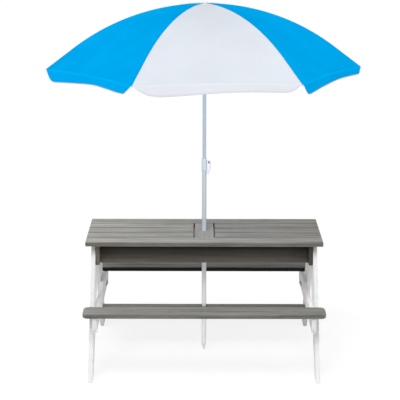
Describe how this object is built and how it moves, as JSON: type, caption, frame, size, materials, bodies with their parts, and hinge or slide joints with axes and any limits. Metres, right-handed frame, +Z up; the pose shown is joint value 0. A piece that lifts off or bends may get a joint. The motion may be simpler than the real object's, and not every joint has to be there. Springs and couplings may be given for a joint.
{
  "type": "picnic table with sandbox and parasol",
  "caption": "Children's wooden picnic table with benches, a sandbox under lift-off lids in the top, and a folding hexagonal parasol on a telescopic pole.",
  "frame": {"origin": "on the floor, on the axis of the parasol pole, in the middle of the table", "axes": "+Z up along the pole, +X along the length of the table, +Y across it, away from the front bench"},
  "size_m": [1.2724, 1.1564, 1.4464],
  "materials": {
    "greywashed_timber": "grey-washed sawn softwood, matt, slightly worn edges",
    "white_timber": "white-stained softwood, satin",
    "box_timber": "grey-washed softwood, matt",
    "floor_plywood": "untreated thin plywood",
    "tube_paint": "pale blue-grey powder coat, semi-gloss",
    "white_plastic": "moulded white plastic, satin",
    "frame_steel": "galvanised wire",
    "blue_cloth": "plain-weave polyester, matt",
    "white_cloth": "plain-weave polyester, matt"
  },
  "bodies": {
    "table": {"bench_front": "greywashed_timber", "bench_rear": "greywashed_timber", "box_cleat_front": "box_timber", "box_cleat_rear": "box_timber", "box_divider_left": "box_timber", "box_divider_right": "box_timber", "box_end_left": "box_timber", "box_end_right": "box_timber", "box_floor_left": "floor_plywood", "box_floor_right": "floor_plywood", "box_wall_front": "box_timber", "box_wall_rear": "box_timber", "centre_plate": "greywashed_timber", "crossbeam_left": "white_timber", "crossbeam_right": "white_timber", "leg_front_left": "white_timber", "leg_front_right": "white_timber", "leg_rear_left": "white_timber", "leg_rear_right": "white_timber", "lower_stretcher": "greywashed_timber", "top_rail_front": "greywashed_timber", "top_rail_rear": "greywashed_timber"},
    "lid_left": {"lid_left_batten_1": "greywashed_timber", "lid_left_batten_2": "greywashed_timber", "lid_left_plank_1": "greywashed_timber", "lid_left_plank_2": "greywashed_timber", "lid_left_plank_3": "greywashed_timber"},
    "lid_right": {"lid_right_batten_1": "greywashed_timber", "lid_right_batten_2": "greywashed_timber", "lid_right_plank_1": "greywashed_timber", "lid_right_plank_2": "greywashed_timber", "lid_right_plank_3": "greywashed_timber"},
    "pole": {"lower_tube": "tube_paint", "ground_spike": "white_plastic", "clamp_body": "white_plastic"},
    "lever": {"clamp_lever": "white_plastic"},
    "mast": {"upper_tube": "tube_paint", "top_notch": "white_plastic", "finial": "white_plastic"},
    "runner": {"runner": "white_plastic"},
    "rib_arm_1": {"rib_1": "frame_steel", "canopy_panel_1": "white_cloth"},
    "stretcher_arm_1": {"stretcher_1": "frame_steel"},
    "rib_arm_2": {"rib_2": "frame_steel", "canopy_panel_2": "blue_cloth"},
    "stretcher_arm_2": {"stretcher_2": "frame_steel"},
    "rib_arm_3": {"rib_3": "frame_steel", "canopy_panel_3": "white_cloth"},
    "stretcher_arm_3": {"stretcher_3": "frame_steel"},
    "rib_arm_4": {"rib_4": "frame_steel", "canopy_panel_4": "blue_cloth"},
    "stretcher_arm_4": {"stretcher_4": "frame_steel"},
    "rib_arm_5": {"rib_5": "frame_steel", "canopy_panel_5": "white_cloth"},
    "stretcher_arm_5": {"stretcher_5": "frame_steel"},
    "rib_arm_6": {"rib_6": "frame_steel", "canopy_panel_6": "blue_cloth"},
    "stretcher_arm_6": {"stretcher_6": "frame_steel"}
  },
  "joints": [
    {"name": "lid_left_lift", "type": "slide", "parent": "table", "child": "lid_left", "axis": [0, 0, 1], "range_m": [0, 0.15]},
    {"name": "lid_right_lift", "type": "slide", "parent": "table", "child": "lid_right", "axis": [0, 0, 1], "range_m": [0, 0.15]},
    {"name": "parasol_turn", "type": "hinge", "parent": "table", "child": "pole", "pos_m": [0, 0, 0.496], "axis": [0, 0, 1], "continuous": true},
    {"name": "mast_lower", "type": "slide", "parent": "pole", "child": "mast", "axis": [0, 0, -1], "range_m": [0, 0.09]},
    {"name": "clamp_flip", "type": "hinge", "parent": "pole", "child": "lever", "pos_m": [0.01956, -0.00416, 0.787], "axis": [-0.2079, -0.9781, 0], "range_deg": [0, 110]},
    {"name": "runner_slide", "type": "slide", "parent": "mast", "child": "runner", "axis": [0, 0, -1], "range_m": [0, 0.3064]},
    {"name": "rib_1_fold", "type": "hinge", "parent": "mast", "child": "rib_arm_1", "pos_m": [0.01389, 0.00117, 1.42059], "axis": [-0.0837, 0.9965, 0], "range_deg": [0, 65.6], "deforming": ["canopy_panel_1"]},
    {"name": "stretcher_1_fold", "type": "hinge", "parent": "runner", "child": "stretcher_arm_1", "pos_m": [0.01453, 0.00624, 1.236], "axis": [0.0837, -0.9965, 0], "range_deg": [0, 44.65]},
    {"name": "rib_2_fold", "type": "hinge", "parent": "mast", "child": "rib_arm_2", "pos_m": [0.00594, 0.01262, 1.42059], "axis": [-0.9048, 0.4258, 0], "range_deg": [0, 65.6], "deforming": ["canopy_panel_2"]},
    {"name": "stretcher_2_fold", "type": "hinge", "parent": "runner", "child": "stretcher_arm_2", "pos_m": [0.00186, 0.0157, 1.236], "axis": [0.9048, -0.4258, 0], "range_deg": [0, 44.65]},
    {"name": "rib_3_fold", "type": "hinge", "parent": "mast", "child": "rib_arm_3", "pos_m": [-0.00796, 0.01145, 1.42059], "axis": [-0.8211, -0.5707, 0], "range_deg": [0, 65.6], "deforming": ["canopy_panel_3"]},
    {"name": "stretcher_3_fold", "type": "hinge", "parent": "runner", "child": "stretcher_arm_3", "pos_m": [-0.01267, 0.00946, 1.236], "axis": [0.8211, 0.5707, 0], "range_deg": [0, 44.65]},
    {"name": "rib_4_fold", "type": "hinge", "parent": "mast", "child": "rib_arm_4", "pos_m": [-0.01389, -0.00117, 1.42059], "axis": [0.0837, -0.9965, 0], "range_deg": [0, 65.6], "deforming": ["canopy_panel_4"]},
    {"name": "stretcher_4_fold", "type": "hinge", "parent": "runner", "child": "stretcher_arm_4", "pos_m": [-0.01453, -0.00624, 1.236], "axis": [-0.0837, 0.9965, 0], "range_deg": [0, 44.65]},
    {"name": "rib_5_fold", "type": "hinge", "parent": "mast", "child": "rib_arm_5", "pos_m": [-0.00594, -0.01262, 1.42059], "axis": [0.9048, -0.4258, 0], "range_deg": [0, 65.6], "deforming": ["canopy_panel_5"]},
    {"name": "stretcher_5_fold", "type": "hinge", "parent": "runner", "child": "stretcher_arm_5", "pos_m": [-0.00186, -0.0157, 1.236], "axis": [-0.9048, 0.4258, 0], "range_deg": [0, 44.65]},
    {"name": "rib_6_fold", "type": "hinge", "parent": "mast", "child": "rib_arm_6", "pos_m": [0.00796, -0.01145, 1.42059], "axis": [0.8211, 0.5707, 0], "range_deg": [0, 65.6], "deforming": ["canopy_panel_6"]},
    {"name": "stretcher_6_fold", "type": "hinge", "parent": "runner", "child": "stretcher_arm_6", "pos_m": [0.01267, -0.00946, 1.236], "axis": [-0.8211, -0.5707, 0], "range_deg": [0, 44.65]}
  ],
  "couplings": [
    {"joint": "rib_1_fold", "follows": "runner_slide", "rad_per_m": 3.731},
    {"joint": "stretcher_1_fold", "follows": "runner_slide", "rad_per_m": 2.5377},
    {"joint": "rib_2_fold", "follows": "runner_slide", "rad_per_m": 3.731},
    {"joint": "stretcher_2_fold", "follows": "runner_slide", "rad_per_m": 2.5377},
    {"joint": "rib_3_fold", "follows": "runner_slide", "rad_per_m": 3.731},
    {"joint": "stretcher_3_fold", "follows": "runner_slide", "rad_per_m": 2.5377},
    {"joint": "rib_4_fold", "follows": "runner_slide", "rad_per_m": 3.731},
    {"joint": "stretcher_4_fold", "follows": "runner_slide", "rad_per_m": 2.5377},
    {"joint": "rib_5_fold", "follows": "runner_slide", "rad_per_m": 3.731},
    {"joint": "stretcher_5_fold", "follows": "runner_slide", "rad_per_m": 2.5377},
    {"joint": "rib_6_fold", "follows": "runner_slide", "rad_per_m": 3.731},
    {"joint": "stretcher_6_fold", "follows": "runner_slide", "rad_per_m": 2.5377}
  ]
}
